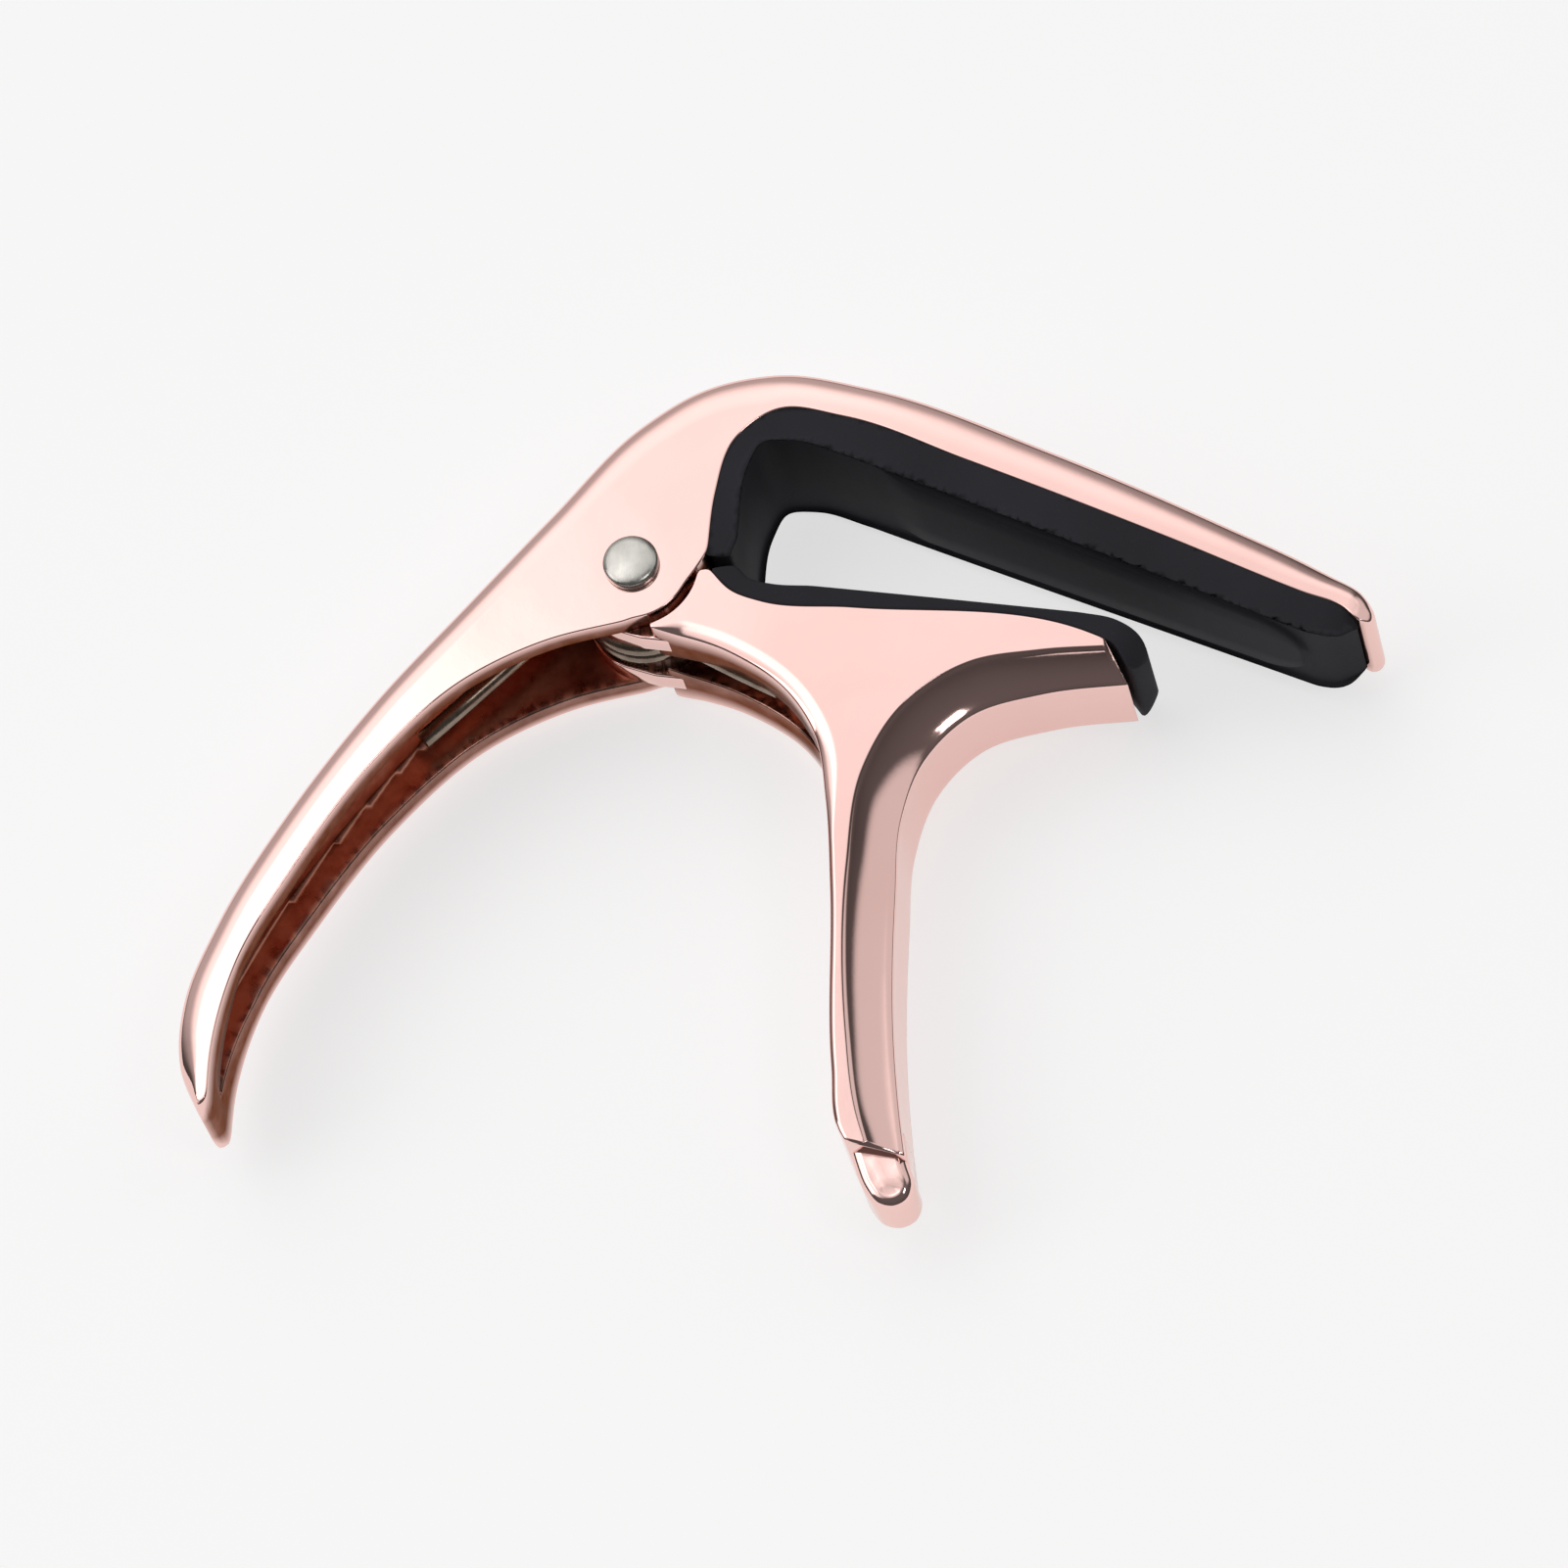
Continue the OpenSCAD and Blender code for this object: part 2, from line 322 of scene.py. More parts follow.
def casting(patches, half_rows, slot_from, slot_to, floor, slot_half_of, face_of, floor_round, face_gap, rim_shade):
    """Faces, sides and slot of a casting.

    Columns slot_from to slot_to open into the slot, whose back is the floor path. The last argument is 1 where
    the wall is a plain sawn rim, which the material makes rougher and paints darker as painted shade, and 0
    where it is polished.
    """
    columns = mirrored(half_rows)
    last = columns.shape[1] - 1

    def skip(i, j):
        return slot_from <= i < slot_to and SLOT_ROW <= j < last - SLOT_ROW

    # inner 0.5 marks the sawn rim walls, which the material makes rougher and paints darker as painted shade
    dull = np.zeros(columns.shape[:2])
    dull[:, EDGE_ROWS:last + 1 - EDGE_ROWS] = 0.5 * rim_shade[:, None]
    patches.grid(columns, closed=True, skip=skip, inner=dull)
    patches.sheet(half_rows[:, 0, :2], face_of, face_gap, 0.35)

    # the slot's back, from the last open column round to the first
    mid = half_rows.shape[1] - 1
    normal = right_normals(floor)
    back = []
    for share, off in ((1.0, 1.0), (0.93, 0.3), (0.78, 0.0), (0.4, 0.0), (0.0, 0.0)):
        xy = floor - normal * (floor_round * off)
        back.append(np.column_stack([xy, slot_half_of(floor) * share]))
    back = np.stack(back, 1)
    back[0] = half_rows[slot_to, SLOT_ROW:mid + 1]
    back[-1] = half_rows[slot_from, SLOT_ROW:mid + 1]
    # inner 1.0 marks the slot's back, which the material paints redder and darker as painted shade
    patches.grid(mirrored(back), inner=1.0)
    loop = np.concatenate([half_rows[slot_from:slot_to + 1, SLOT_ROW, :2], back[1:-1, 0, :2]])
    heights = np.concatenate([half_rows[slot_from:slot_to + 1, SLOT_ROW, 2], back[1:-1, 0, 2]])

    def wall(p):
        z = slot_half_of(p)
        gap = np.linalg.norm(p[:, None] - loop[None], axis=2)
        close = gap.argmin(1)
        on = gap[np.arange(len(p)), close] < 1e-4
        z[on] = heights[close[on]]
        return z

    # the slot's side walls carry inner 1.0 too: painted shade
    patches.sheet(loop, wall, 0.8, 0.35, inner=1.0)


# ---- Outlines ----

REAR_KEYS = [(-35.7, -48.1), (-37.5, -44), (-37.4, -38), (-34.8, -31), (-29.3, -21.5), (-22, -11.5),
             (-14.5, -3), (-7.3, 5.2)]
BAR_KEYS = [(0.2, 13.4), (5.5, 16.7), (12, 17.9), (20, 16.3), (35.5, 10), (50, 3), (59.6, -2.2),
            (62.3, -4.1), (63.4, -5.9)]
REAR_BACK = curve(REAR_KEYS)
WHOLE_BACK = curve(REAR_KEYS + BAR_KEYS)
PAD_SEAT = curve([(61.9, -6.7), (60.8, -5.5), (57.5, -4.1), (46, 1.2), (28.4, 8.9), (18, 13.2),
                  (12, 14.1), (8.4, 11.3), (7, 6.5), (6.5, 1)])
CHEEK_FRONT = curve([(6.5, 1), (6.05, 0.25), (5.35, -0.9), (4.64, -1.87)])
CHEEK_ARC = arc(5.0, -22, -90)
REAR_EDGE = curve([(0, -5.2), (-7.3, -6.9), (-14.3, -10.3), (-22, -17.7), (-28.2, -26.6),
                   (-32.8, -35), (-34.6, -42.5), (-34.8, -47.2)])
STRING_LINE = np.array([(18.5, 9.9), (58.8, -7.7)])  # two points of the straight face under the bar
STRING_TILT = -23.6  # degrees, the way that face runs
STRING_FACE = curve([(8.5, 0.4), (8.6, 3), (9.3, 9), (10.6, 11.4), (13.5, 11.6), STRING_LINE[0]])
STRING_TIP = curve([(57.6, -7.2), (59.6, -7.5), (61, -7.1), (61.9, -6.7)])
JAW_TOP = curve([(6.7, -0.5), (8.6, -2.6), (11.2, -3.7), (19, -4.5), (38.6, -7), (41.3, -8.2)])
NECK_START = curve([(7.5, -0.4), (8.8, -0.2), (10, -1.4), (12, -2), (15.5, -2.3)])
NECK_END = curve([(38.4, -5.3), (41.4, -6), (43.7, -7.6), (44, -8.5), (43.2, -10)])
OUTER_KEYS = [(43.1, -11.1), (35, -11.8), (29, -13.6), (25.2, -17.6), (23.4, -23), (23.1, -30),
              (23.3, -43), (24, -50), (24.6, -54.1)]
SCOOP_KEYS = [(41.2, -8.6), (35, -8.9), (29, -9.9), (23.6, -13.6), (20.3, -19.5), (19.2, -28),
              (19.5, -43), (20.5, -50), (21.5, -53.3)]
NOSE = curve([(24.2, -51), (24.6, -53.5), (25.1, -55.5), (24.7, -56.7), (23.4, -57.4), (22, -57.1),
              (20.9, -55.8), (20, -53.6), (19.3, -51)])
INNER_SIDE = curve([(19.9, -53), (19, -51.5), (18.3, -46), (17.8, -30),
                    (17.2, -22), (16, -15.8), (13.4, -11.8), (8.5, -8.3), (1.6, -5.8)])
SHOULDER = arc(5.7, -74, -6)
LEVER_FLOOR = curve([(6.1, -1.9), (7.2, -3.9), (10, -5.6), (13, -8.5), (14.9, -11.7), (15.6, -14.2)])
ARM_SLOT_END, LEVER_SLOT_START = (-34.72, -44.3), (15.9, -15.3)
ARM_SLOT_AT_SEAT = 5.2  # half the slot's width where the pad's seat closes it


# ---- Arm ----

def arm_half(p):
    w = HALF - 0.05 * easing(along(p, 238) - 14, 8) - 0.0433 * easing(along(p, -23) - 16, 8)
    return w * nose(p, 265, 51.2, 1.4, 0.62) * nose(p, -10, 63.8, 2.6, 0.65)


def arm_slot_half(p):
    wall = 2.3 + 0.5 * ramp(along(p, 238), 14, 40)
    c = arm_half(p) - wall
    return np.maximum(c * np.clip((p[:, 1] + 45.6) / 10.5, 0, 1) ** 0.8, 0.12)


def build_arm(material):
    back, tip, seat, cheek, edge, end = range(6)
    base, kind, _ = soft_loop([
        WHOLE_BACK, [(63.4, -5.9), (63.1, -6.7), (61.9, -6.7)], PAD_SEAT,
        joined(CHEEK_FRONT, CHEEK_ARC, np.array([CHEEK_ARC[-1], REAR_EDGE[0]])), REAR_EDGE,
        [REAR_EDGE[-1], REAR_BACK[0]],
    ], 0.42, 0.45)
    inward = right_normals(base, closed=True)
    step = np.linalg.norm(np.diff(base, axis=0, append=base[:1]), axis=1)
    s = np.concatenate([[0], np.cumsum(step)[:-1]])
    on_back = kind == back
    back_end = s[on_back][-1]

    # the rolled edge is broad over the back, and shrinks to a crisp corner at the tips and inner edges
    near_rear, near_bar = ramp(s, -0.5, 3), ramp(back_end - s, 0, 7)
    reach = 0.6 + (1.7 + 1.1 * ramp(s, 55, 95)) * near_rear * near_bar
    drop = 0.5 + 0.95 * near_bar + 1.0 * (1 - ramp(s, 1, 9))
    thick = distance(base, base[(kind >= seat) & (kind <= edge)])
    reach = np.minimum(reach, np.maximum(thick - 0.8, 0.3))
    reach = np.where(on_back, reach, 0.15)
    drop = np.where(on_back, drop, 0.15)
    reach, drop = np.where(kind == end, 0.25, reach), np.where(kind == end, 0.6, drop)
    reach, drop = eased(reach, 5), eased(drop, 5)

    slot_from = int(np.where(kind == cheek)[0][3])
    slot_to = int(np.linalg.norm(base - ARM_SLOT_END, axis=1).argmin())
    in_slot = np.zeros(len(base))
    in_slot[slot_from:slot_to + 1] = 1
    half = arm_half(base) - drop
    slot_half = np.where(kind >= cheek, arm_slot_half(base), 0.5 * half)
    seat_share = ramp(s, s[slot_from] - 9, s[slot_from] - 1)
    slot_half = np.where(kind == seat, slot_half + (ARM_SLOT_AT_SEAT - slot_half) * seat_share, slot_half)
    slot_half = np.where(on_back, 0.12 + (slot_half - 0.12) * ramp(s, 0, 12), slot_half)
    slot_half = np.minimum(slot_half, half - 0.45)

    rows = column_rows(base, inward, arm_half, reach, drop, rolled_edge(1.5, 10, 70), slot_half, in_slot)
    floor_line = REAR_BACK + right_normals(REAR_BACK) * 1.35
    floor_line = floor_line[floor_line[:, 1] > -38.5]
    floor = np.concatenate([
        base[slot_to][None], spaced(np.array([[-34.95, -43.5], [-35.75, -41]]), 0.6),
        spaced(floor_line, 0.8),
        spaced(curve([(-5.6, 4.9), (-3, 5.3), (0.5, 4.6), (4.6, 2.9)]), 0.6),
        np.array([[5.5, 1.9], [5.6, 1.2]]), base[slot_from][None],
    ])
    body = Patches()
    # the walls from the pad's seat round to the rear tip are the sawn rims, painted darker as painted shade
    casting(body, rows, slot_from, slot_to, floor, arm_slot_half, arm_half, 0.4, 0.8,
            eased((kind >= seat).astype(float), 3))
    return body.build("arm_casting", material)


# ---- Lever ----

LEVER_SLOT = 2.8  # half the width of the lever's slot
SCOOP_FROM, SCOOP_TO = 32, 72  # the part of a quarter ellipse that the scoop's section follows, in degrees
EAR_LOW, EAR_HIGH, EAR_BREAK, EAR_R, BORE_R = 2.82, 5.1, 0.15, 5.4, 1.9


def lever_half(p):
    w = HALF - 0.0375 * easing(along(p, -12) - 12, 8)
    finger = HALF - 0.0433 * easing(along(p, -68) - 20, 8)
    return lesser(w, finger, 24)


def nose_half(p):
    return 3.5 - 0.12 * (-p[:, 1] - 53)


def lever_slot_half(p):
    return np.maximum(LEVER_SLOT * np.clip((along(p, 60) + 5.6) / 3.4, 0, 1) ** 0.7, 0.1)


def scoop_rows(o, sc):
    """Rows of the outer side, from the scoop's edge on the face at sc to the band at the outline o."""
    band = 3.85 + 0.45 * ramp(-o[:, 1], 12, 26)
    e = (sc - o) / np.linalg.norm(sc - o, axis=1)[:, None]
    profile = []
    for inset, fall in ((0.16, 0), (0.09, 0), (0.03, 0.03), (0.0, 0.1)):
        xy = sc + e * inset
        profile.append(np.column_stack([xy, lever_half(xy) - fall]))
    steps = EDGE_ROWS - 4 - 3
    face_s = lever_half(sc)
    first_cos, first_sin = math.cos(math.radians(SCOOP_FROM)), math.sin(math.radians(SCOOP_FROM))
    last_cos, last_sin = math.cos(math.radians(SCOOP_TO)), math.sin(math.radians(SCOOP_TO))
    for k in range(steps):
        phi = math.radians(SCOOP_FROM + (SCOOP_TO - SCOOP_FROM) * (k + 0.5) / steps)
        out = (math.cos(phi) - last_cos) / (first_cos - last_cos)
        deep = (math.sin(phi) - first_sin) / (last_sin - first_sin)
        profile.append(np.column_stack([o + (sc - o) * out, face_s + (band - face_s) * deep]))
    for inset, fall in ((0.12, 0.0), (0.03, 0.06), (0.0, 0.18)):
        xy = o + e * inset
        profile.append(np.column_stack([xy, band - fall]))
    return np.stack(profile, 1)


def add_nose(body):
    """The handle's thinner, well rounded end."""
    outline = spaced(NOSE, 0.3)
    inward = right_normals(outline, closed=True)
    edge, turns = 0.95, np.radians(np.linspace(90, 0, 9))
    rounded = []
    for k, a in enumerate(np.concatenate([turns[:1], turns])):
        xy = outline + inward * edge * (1 - math.cos(a) + (0.08 if k == 0 else 0))
        rounded.append(np.column_stack([xy, nose_half(outline) - edge * (1 - math.sin(a))]))
    rounded.append(np.column_stack([outline, np.zeros(len(outline))]))
    rounded = np.stack(rounded, 1)
    body.grid(mirrored(rounded), closed=True)
    top_z = rounded[:, 0, 2]

    def nose_top(p):
        z = nose_half(p)
        z[:len(top_z)] = top_z
        return z

    body.sheet(rounded[:, 0, :2], nose_top, 0.7, 0.3)


def add_ears(body):
    """Two ears between the cheeks, each an open ring round the rivet with its root in the body."""
    ring = joined(
        np.array([[7.2, -0.9], [5.42, 0.5]]), arc(EAR_R, 6, 249),
        np.array([[0.6, -5.9], [3.2, -6.3], [7.4, -4.6], [7.2, -0.9]]),
    )
    ring = spaced(ring, 0.35)[:-1]
    ring = ring[::-1]
    out_n = right_normals(ring, closed=True)
    bore = arc(BORE_R, 360, 0, 48)[:-1]
    middle = (EAR_LOW + EAR_HIGH) / 2
    wall = [
        (0.3, EAR_HIGH), (EAR_BREAK, EAR_HIGH), (0.04, EAR_HIGH - 0.04), (0, EAR_HIGH - EAR_BREAK),
        (0, middle), (0, EAR_LOW + EAR_BREAK), (0.04, EAR_LOW + 0.04), (EAR_BREAK, EAR_LOW), (0.3, EAR_LOW),
    ]
    for side in (1, -1):
        columns = np.stack([
            np.column_stack([ring + out_n * i, np.full(len(ring), side * z)]) for i, z in wall
        ], 1)
        body.grid(columns, closed=True)
        hole = np.stack([
            np.column_stack([bore, np.full(len(bore), side * z)]) for z in (EAR_HIGH, middle, EAR_LOW)
        ], 1)
        body.grid(hole, closed=True)
        for z in (EAR_HIGH, EAR_LOW):
            disc_with_hole(body, ring + out_n * 0.3, bore, side * z)


def build_lever(material):
    top, jaw_end, side, tip, inner, root, shoulder, front = range(8)
    outer_path, scoop_path = curve(OUTER_KEYS, 40), curve(SCOOP_KEYS, 40)
    base, kind, share = soft_loop([
        JAW_TOP, [JAW_TOP[-1], outer_path[0]], outer_path, [outer_path[-1], INNER_SIDE[0]], INNER_SIDE,
        [INNER_SIDE[-1], SHOULDER[0]], SHOULDER, [SHOULDER[-1], JAW_TOP[0]],
    ], 0.34, 0.3)
    inward = right_normals(base, closed=True)
    # the jaw's end and the ledge above the nose are flat walls, so they keep no columns of their own
    keep = (kind != jaw_end) & ((kind != top) | (base[:, 0] < 40.7)) & ((kind != side) | (share > 0.012))
    keep &= (kind != tip) & ((kind != side) | (share < 0.992)) & ((kind != inner) | (share > 0.006))
    base, kind, share, inward = base[keep], kind[keep], share[keep], inward[keep]
    step = np.linalg.norm(np.diff(base, axis=0, append=base[:1]), axis=1)
    s = np.concatenate([[0], np.cumsum(step)[:-1]])
    length = np.concatenate([[0], np.cumsum(np.linalg.norm(np.diff(outer_path, axis=0), axis=1))])
    scoop = np.stack([np.interp(share * length[-1], length, scoop_path[:, i]) for i in (0, 1)], 1)

    start, corner = s[kind == inner][0], s[kind == inner][-1]
    thin = ramp(along(base, -90), 18, 26)
    soft = (0.4 + 0.6 * ramp(s, start, start + 3)) * ramp(corner - s, 0, 3) * (kind == inner)
    reach = 0.15 + (1.3 - 0.95 * thin) * soft
    drop = 0.15 + (0.5 - 0.1 * thin) * soft

    slot_from = int(np.linalg.norm(base - LEVER_SLOT_START, axis=1).argmin())
    slot_to = int(np.where(kind == shoulder)[0][-1])
    in_slot = np.zeros(len(base))
    in_slot[slot_from:slot_to + 1] = 1
    slot_half = np.where((kind == shoulder) | (kind == root), LEVER_SLOT, lever_slot_half(base))
    slot_half = np.where((kind <= side) | (kind == front), LEVER_SLOT, slot_half)
    below = ramp(along(base, -90), 15.3, 22) * (kind == inner)
    slot_half = slot_half + (1.5 - slot_half) * below * 0.8
    slot_half = np.minimum(slot_half, lever_half(base) - drop - 0.45)
    rows = column_rows(base, inward, lever_half, reach, drop, rolled_edge(0.5, 5, 68), slot_half, in_slot)

    on = np.where(kind == side)[0]
    profile = scoop_rows(base[on], scoop[on])
    k = profile.shape[1]
    rows[on, :k] = profile
    rows[on, k, 2] = 0.5 * (rows[on, k - 1, 2] + rows[on, k + 1, 2])
    body = Patches()
    floor = np.concatenate([
        base[slot_to][None],
        spaced(LEVER_FLOOR, 0.6),
        base[slot_from][None],
    ])
    # the walls that open into the slot are the sawn rims, painted darker as painted shade
    casting(body, rows, slot_from, slot_to, floor, lever_slot_half, lever_half, 0.3, 0.8,
            eased(in_slot, 15))

    add_nose(body)
    add_ears(body)
    return body.build("lever_casting", material)


def disc_with_hole(patches, loop, hole, z):
    """A flat sheet between a loop and a hole, both at height z."""
    n, m = len(loop), len(hole)
    found = delaunay_2d_cdt(
        [Vector(p) for p in np.concatenate([loop, hole])],
        [(i, (i + 1) % n) for i in range(n)] + [(n + i, n + (i + 1) % m) for i in range(m)],
        [], 1, 1e-7,
    )
    flat = np.array([tuple(v) for v in found[0]])
    # inner 1.0: the ears' flat faces between the cheeks get the slot's painted shade
    start = patches.add(np.column_stack([flat, np.full(len(flat), z)]), 1.0)
    for f in found[2]:
        centre = flat[list(f)].mean(0)
        if not inside(centre[None], hole)[0]:
            patches.faces.append(tuple(start + i for i in f))


# ---- Pads ----

def build_pad(name, parts, half_of, material, edge, recess_depth, recess_half, sharp):
    """A moulded pad: rounded edges, finer near its sharp corners, and a pocket where recess_depth is over 0."""
    base, _, _ = soft_loop(parts, 0.35, 0.3)
    inward = right_normals(base, closed=True)
    edge = edge * np.min([0.15 + 0.85 * ramp(np.linalg.norm(base - c, axis=1), 0.3, 2.0) for c in sharp], 0)
    rows = []
    turns = np.radians(np.linspace(90, 0, 7))
    for k, a in enumerate(np.concatenate([[turns[0]], turns])):
        inset = edge * (1 - math.cos(a) + (0.3 if k == 0 else 0))
        xy = base + inward * inset[:, None]
        rows.append(np.column_stack([xy, half_of(xy) - edge * (1 - math.sin(a))]))
    depth, c = recess_depth(base), recess_half(base)
    c = np.minimum(c, half_of(base) - edge - 0.3)
    lip = 0.25
    for out, into in ((1.0, 0.0), (0.3, 0.12), (0.0, 0.45), (-0.45, 0.8), (-1.1, 1.0)):
        xy = base + inward * (depth * into)[:, None]
        rows.append(np.column_stack([xy, np.maximum(c + lip * out, 0.02)]))
    floor = base + inward * depth[:, None]
    for share in (0.5, 0.0):
        rows.append(np.column_stack([floor, np.maximum(c - 1.1 * lip, 0.02) * share]))
    rows = np.stack(rows, 1)
    body = Patches()
    body.grid(mirrored(rows), closed=True)
    body.sheet(rows[:, 0, :2], half_of, 0.7, 0.3)
    return body.build(name, material)


def pad_half(p):
    return (arm_half(p) - 0.12) * nose(p, STRING_TILT, 59.6, 3.4, 0.55)


def neck_half(p):
    return (lever_half(p) - 0.12) * nose(p, -20, 44.4, 3.8, 0.5)


POCKET_DEPTH, POCKET_END = 0.55, 55.3  # the end is measured along the string face


def string_recess(p):
    """Depth of the pocket at points of the string pad's outline."""
    run_x, run_y = STRING_LINE[1] - STRING_LINE[0]
    off = (p - STRING_LINE[0]) @ unit((-run_y, run_x))
    run = along(p, STRING_TILT)
    on_face = (np.abs(off) < 0.25) & (run > 14)
    return np.where(on_face, POCKET_DEPTH * ramp(run, 15, 19) * ramp(POCKET_END - run, 0, 0.4), 0.0)


def string_recess_half(p):
    run = along(p, STRING_TILT)
    half = arm_half(p) - 1.45
    left = np.clip(POCKET_END - run, 0, half)
    return np.sqrt(np.maximum(half**2 - (half - left) ** 2, 0.05))


def build_pads(silicone_string, silicone_neck):
    string = build_pad(
        "string_pad_silicone",
        [STRING_FACE, [STRING_FACE[-1], STRING_TIP[0]], STRING_TIP,
         PAD_SEAT, [PAD_SEAT[-1], STRING_FACE[0]]],
        pad_half, silicone_string, 0.35, string_recess, string_recess_half, [(61.9, -6.7), (8.5, 0.4)],
    )
    neck = build_pad(
        "neck_pad_silicone",
        [NECK_START, [NECK_START[-1], NECK_END[0]], NECK_END, [NECK_END[-1], (42.6, -10.3), JAW_TOP[-1]],
         JAW_TOP[::-1], [JAW_TOP[0], NECK_START[0]]],
        neck_half, silicone_neck, 0.3, lambda p: np.zeros(len(p)), lambda p: neck_half(p) * 0.5,
        [(6.9, -0.5), (42.9, -10.2), (41.3, -8.2)],
    )
    return string, neck


# ---- Rivet, spring ----

def build_rivet(material):
    half = [(0.0, 1.0), (0.6, 0.985), (1.2, 0.94), (1.7, 0.875), (2.0, 0.81), (2.2, 0.73), (2.33, 0.62),
            (2.39, 0.48), (2.4, 0.2), (2.4, 0.0), (2.36, -0.06), (1.9, -0.06), (1.8, -0.1)]
    profile = [(r, HALF + z) for r, z in half] + [(1.8, 0.0)]
    a = np.radians(np.arange(0, 360, 5))
    rows = np.array([
        [(max(r, 1e-4) * math.cos(t), max(r, 1e-4) * math.sin(t), z) for r, z in profile] for t in a
    ])
    body = Patches()
    body.grid(mirrored(rows), closed=True)
    return body.build("rivet", material)


def tube(path, radius, sides=14):
    """Rows along a round wire, each from one domed end to the other, and the middle points of the two ends."""
    t = np.gradient(path, axis=0)
    t /= np.linalg.norm(t, axis=1)[:, None]
    side = np.cross(np.array([0, 0, 1.0]), t)
    side /= np.linalg.norm(side, axis=1)[:, None]
    up = np.cross(t, side)
    bulge = radius * 0.2
    rows = []
    for k in range(sides):
        a = 2 * math.pi * k / sides
        arm_dir = math.cos(a) * side + math.sin(a) * up
        head = [path[0] + arm_dir[0] * radius * f - t[0] * bulge * (1 - f) for f in (0.25, 0.75, 0.94)]
        tail = [path[-1] + arm_dir[-1] * radius * f + t[-1] * bulge * (1 - f) for f in (0.25, 0.75, 0.94)]
        rows.append(head + list(path + arm_dir * radius) + tail[::-1])
    return np.array(rows), path[0] - t[0] * bulge, path[-1] + t[-1] * bulge


WIRE_R, COIL_R, COIL_HALF, COIL_TURN = 0.8, 4.7, 1.75, 853.5
LEG_BEND_R = 2.2


def coil(a):
    """The wire's centre line a degrees round the coil, from the near end of the rivet to the far end."""
    turn = math.radians(a)
    return np.array([
        COIL_R * math.cos(turn), COIL_R * math.sin(turn), COIL_HALF * (1 - 2 * a / COIL_TURN)
    ])


def build_spring(material):
    bend = [
        (COIL_R + LEG_BEND_R * (1 - math.cos(a)), -4.2 - LEG_BEND_R * math.sin(a), COIL_HALF)
        for a in np.radians(np.linspace(62, 0, 10))
    ]
    leg = [(12.2, -9.6, COIL_HALF), (9, -7.9, COIL_HALF)] + bend + [(COIL_R, -2, COIL_HALF)]
    end = math.radians(COIL_TURN)
    tail = coil(COIL_TURN) + np.outer((5.5, 11, 16.5, 22), (-math.sin(end), math.cos(end), 0))
    path = np.concatenate([np.array(leg), [coil(a) for a in np.arange(0, COIL_TURN + 1, 8)], tail])
    rows, head, foot = tube(path, WIRE_R)
    body = Patches()
    body.grid(rows, closed=True)
    for j, point in ((0, head), (-1, foot)):
        ring = rows[:, j]
        start = body.add(np.concatenate([ring, [point]]))
        n = len(ring)
        body.faces.extend((start + i, start + (i + 1) % n, start + n) for i in range(n))
    return body.build("torsion_wire", material)


# ---- Materials ----

def new_material(name):
    m = bpy.data.materials.new(name)
    m.use_nodes = True
    nodes, links = m.node_tree.nodes, m.node_tree.links
    return m, nodes, links, nodes["Principled BSDF"]


def noise(nodes, links, where, scale, detail=3.0, rough=0.5):
    n = nodes.new("ShaderNodeTexNoise")
    n.inputs["Scale"].default_value = scale
    n.inputs["Detail"].default_value = detail
    n.inputs["Roughness"].default_value = rough
    links.new(where, n.inputs["Vector"])
    return n


def ramp_node(nodes, links, value, stops):
    r = nodes.new("ShaderNodeValToRGB")
    while len(r.color_ramp.elements) < len(stops):
        r.color_ramp.elements.new(0.5)
    for e, (at, colour) in zip(r.color_ramp.elements, stops):
        e.position = at
        e.color = (*colour, 1)
    links.new(value, r.inputs["Fac"])
    return r


def span(nodes, links, value, low, high, out_low, out_high):
    r = nodes.new("ShaderNodeMapRange")
    r.inputs["From Min"].default_value = low
    r.inputs["From Max"].default_value = high
    r.inputs["To Min"].default_value = out_low
    r.inputs["To Max"].default_value = out_high
    links.new(value, r.inputs["Value"])
    return r.outputs["Result"]


def mix(nodes, links, share, a, b):
    m = nodes.new("ShaderNodeMix")
    m.data_type = "RGBA"
    for socket, value in ((m.inputs[0], share), (m.inputs[6], a), (m.inputs[7], b)):
        if isinstance(value, (int, float)):
            socket.default_value = value
        elif isinstance(value, tuple):
            socket.default_value = (*value, 1)
        else:
            links.new(value, socket)
    return m.outputs[2]


def bump(nodes, links, height, strength, depth, before=None):
    b = nodes.new("ShaderNodeBump")
    b.inputs["Strength"].default_value = strength
    b.inputs["Distance"].default_value = depth
    links.new(height, b.inputs["Height"])
    if before is not None:
        links.new(before, b.inputs["Normal"])
    return b.outputs["Normal"]


